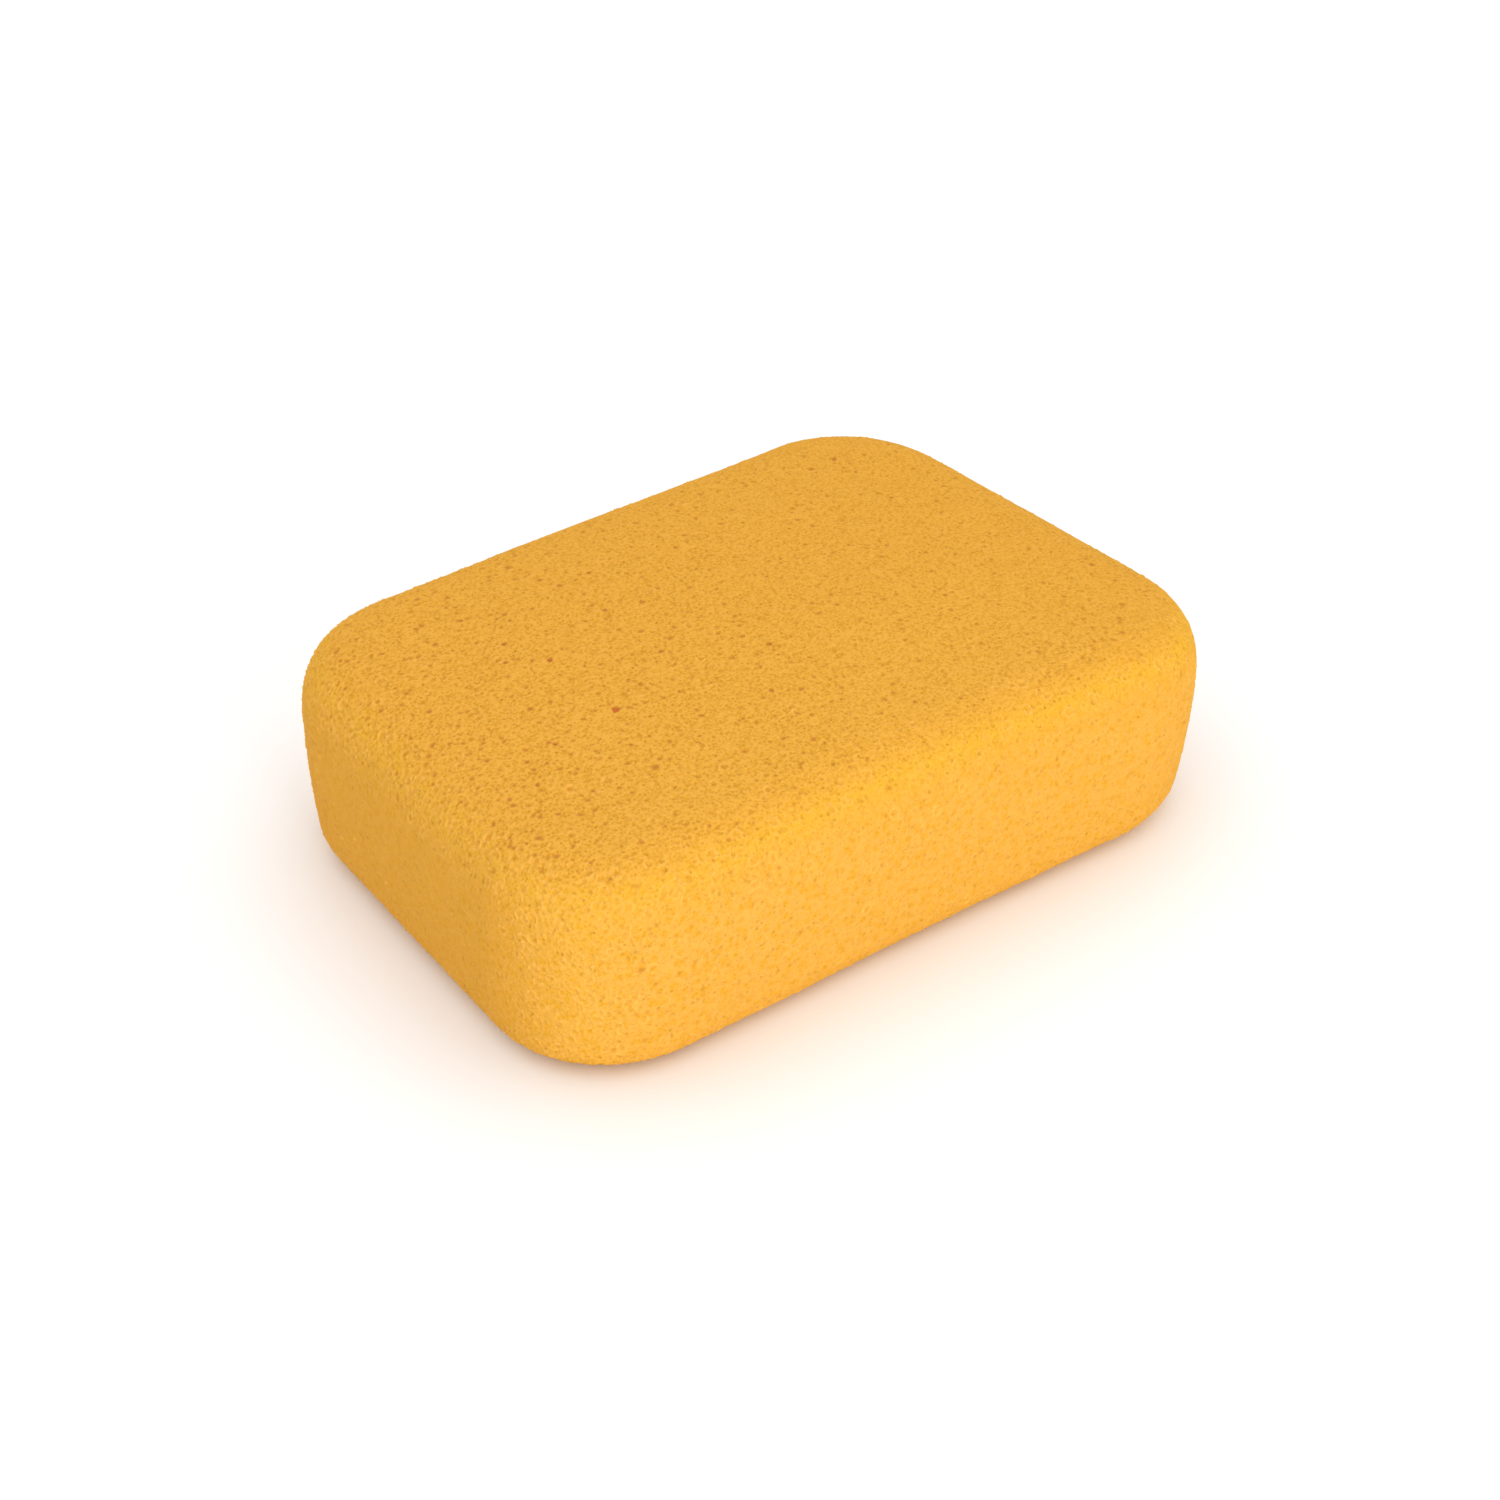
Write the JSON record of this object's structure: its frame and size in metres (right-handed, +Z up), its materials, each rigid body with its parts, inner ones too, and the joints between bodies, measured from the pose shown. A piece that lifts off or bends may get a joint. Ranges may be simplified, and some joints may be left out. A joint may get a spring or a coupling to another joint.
{
  "type": "grout sponge",
  "caption": "Rounded rectangular block of orange-yellow open-cell foam with a slightly crowned top, for wiping grout off tiles.",
  "frame": {"origin": "middle of the flat underside, on the surface that the sponge lies on", "axes": "+X along the length, +Y across the width, +Z up through the crowned top face"},
  "size_m": [0.19, 0.14, 0.055],
  "materials": {
    "foam": "matte"
  },
  "bodies": {
    "root": {"sponge": "foam"}
  },
  "joints": []
}
